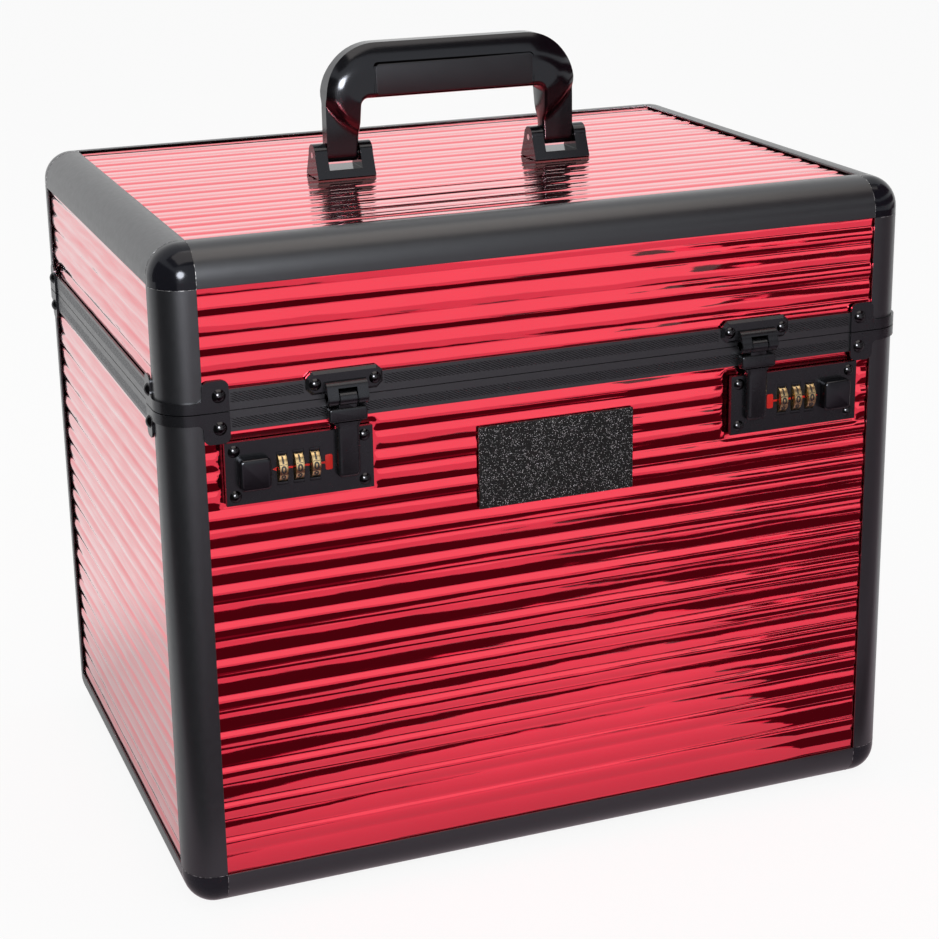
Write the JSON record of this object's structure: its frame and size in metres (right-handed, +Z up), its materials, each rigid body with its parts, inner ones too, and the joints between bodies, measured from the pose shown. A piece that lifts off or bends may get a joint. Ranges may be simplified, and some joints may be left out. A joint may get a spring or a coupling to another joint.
{
  "type": "horse grooming box",
  "caption": "Framed carrying case with ribbed red panels, ball corners, hinged lid, combination locks with hasps, folding handle and lift-out tray for grooming tools.",
  "frame": {"origin": "bottom centre of the case, on the floor", "axes": "+Z up, front with the locks towards -Y, +X to the viewer's right"},
  "size_m": [0.4062, 0.3077, 0.411],
  "materials": {
    "red_panel": "metallic red foil on ribbed board, clear coat",
    "base_board": "grained black board",
    "black_frame": "black anodised, satin",
    "black_cap": "moulded, glossy",
    "black_sheet": "pressed sheet, black coating, semi gloss",
    "black_rivet": "black domed rivets",
    "inner_plastic": "plain moulded",
    "steel": "plain pins and screws",
    "red_mark": "printed red mark",
    "glitter_plate": "black with fine glitter, bare",
    "foam": "closed cell foam",
    "handle_plastic": "moulded, glossy",
    "grip_pad": "soft, matt",
    "brass": "brass with dark numbers",
    "button_plastic": "moulded, semi gloss",
    "tray_plastic": "moulded, fine grain"
  },
  "bodies": {
    "case": {"body_front_panel": "red_panel", "body_rear_panel": "red_panel", "body_left_panel": "red_panel", "body_right_panel": "red_panel", "floor_panel": "base_board", "body_posts": "black_frame", "bottom_rails": "black_frame", "body_rims": "black_frame", "bottom_corner_caps": "black_cap", "body_brackets": "black_sheet", "lock_plate_left": "black_sheet", "lock_plate_right": "black_sheet", "hinge_body_leaves": "black_sheet", "body_bracket_rivets": "black_rivet", "lock_rivets": "black_rivet", "hinge_body_rivets": "black_rivet", "lock_boxes": "inner_plastic", "tray_ledges": "inner_plastic", "lock_axles": "steel", "hinge_pins": "steel", "lock_index": "red_mark", "name_plate": "glitter_plate", "body_lining": "foam", "floor_mat": "foam"},
    "lid": {"lid_top_panel": "red_panel", "lid_front_panel": "red_panel", "lid_rear_panel": "red_panel", "lid_left_panel": "red_panel", "lid_right_panel": "red_panel", "lid_posts": "black_frame", "top_rails": "black_frame", "top_corner_caps": "black_cap", "lid_rims": "black_frame", "lid_brackets": "black_sheet", "lid_bracket_rivets": "black_rivet", "handle_base_left": "handle_plastic", "handle_base_right": "handle_plastic", "handle_pins": "steel", "handle_screws": "steel", "hasp_bracket_left": "black_sheet", "hasp_bracket_right": "black_sheet", "hasp_pins": "steel", "hasp_bracket_rivets": "black_rivet", "lid_lining": "foam", "hinge_lid_leaves": "black_sheet", "hinge_lid_rivets": "black_rivet"},
    "handle": {"handle_grip": "handle_plastic", "handle_pads": "grip_pad"},
    "hasp_left": {"hasp_left": "black_sheet"},
    "hasp_right": {"hasp_right": "black_sheet"},
    "left_wheel_1": {"left_wheel_1": "brass"},
    "left_wheel_2": {"left_wheel_2": "brass"},
    "left_wheel_3": {"left_wheel_3": "brass"},
    "right_wheel_1": {"right_wheel_1": "brass"},
    "right_wheel_2": {"right_wheel_2": "brass"},
    "right_wheel_3": {"right_wheel_3": "brass"},
    "left_button": {"left_button": "button_plastic"},
    "right_button": {"right_button": "button_plastic"},
    "tray": {"tray": "tray_plastic"}
  },
  "joints": [
    {"name": "lid_hinge", "type": "hinge", "parent": "case", "child": "lid", "pos_m": [0, 0.1485, 0.2625], "axis": [-1, 0, 0], "range_deg": [0, 100]},
    {"name": "handle_pivot", "type": "hinge", "parent": "lid", "child": "handle", "pos_m": [0, 0, 0.3524], "axis": [1, 0, 0], "range_deg": [-90, 90]},
    {"name": "tray_lift", "type": "slide", "parent": "case", "child": "tray", "axis": [0, 0, 1], "range_m": [0, 0.06]},
    {"name": "hasp_left_swing", "type": "hinge", "parent": "lid", "child": "hasp_left", "pos_m": [-0.111, -0.1492, 0.263], "axis": [-1, 0, 0], "range_deg": [0, 120]},
    {"name": "left_button_slide", "type": "slide", "parent": "case", "child": "left_button", "axis": [-1, 0, 0], "range_m": [0, 0.004], "stiffness_N_per_m": 300},
    {"name": "left_wheel_1_spin", "type": "hinge", "parent": "case", "child": "left_wheel_1", "pos_m": [-0.1274, -0.142, 0.231], "axis": [1, 0, 0], "continuous": true},
    {"name": "left_wheel_2_spin", "type": "hinge", "parent": "case", "child": "left_wheel_2", "pos_m": [-0.1356, -0.142, 0.231], "axis": [1, 0, 0], "continuous": true},
    {"name": "left_wheel_3_spin", "type": "hinge", "parent": "case", "child": "left_wheel_3", "pos_m": [-0.1438, -0.142, 0.231], "axis": [1, 0, 0], "continuous": true},
    {"name": "hasp_right_swing", "type": "hinge", "parent": "lid", "child": "hasp_right", "pos_m": [0.111, -0.1492, 0.263], "axis": [-1, 0, 0], "range_deg": [0, 120]},
    {"name": "right_button_slide", "type": "slide", "parent": "case", "child": "right_button", "axis": [1, 0, 0], "range_m": [0, 0.004], "stiffness_N_per_m": 300},
    {"name": "right_wheel_1_spin", "type": "hinge", "parent": "case", "child": "right_wheel_1", "pos_m": [0.1274, -0.142, 0.231], "axis": [1, 0, 0], "continuous": true},
    {"name": "right_wheel_2_spin", "type": "hinge", "parent": "case", "child": "right_wheel_2", "pos_m": [0.1356, -0.142, 0.231], "axis": [1, 0, 0], "continuous": true},
    {"name": "right_wheel_3_spin", "type": "hinge", "parent": "case", "child": "right_wheel_3", "pos_m": [0.1438, -0.142, 0.231], "axis": [1, 0, 0], "continuous": true}
  ]
}
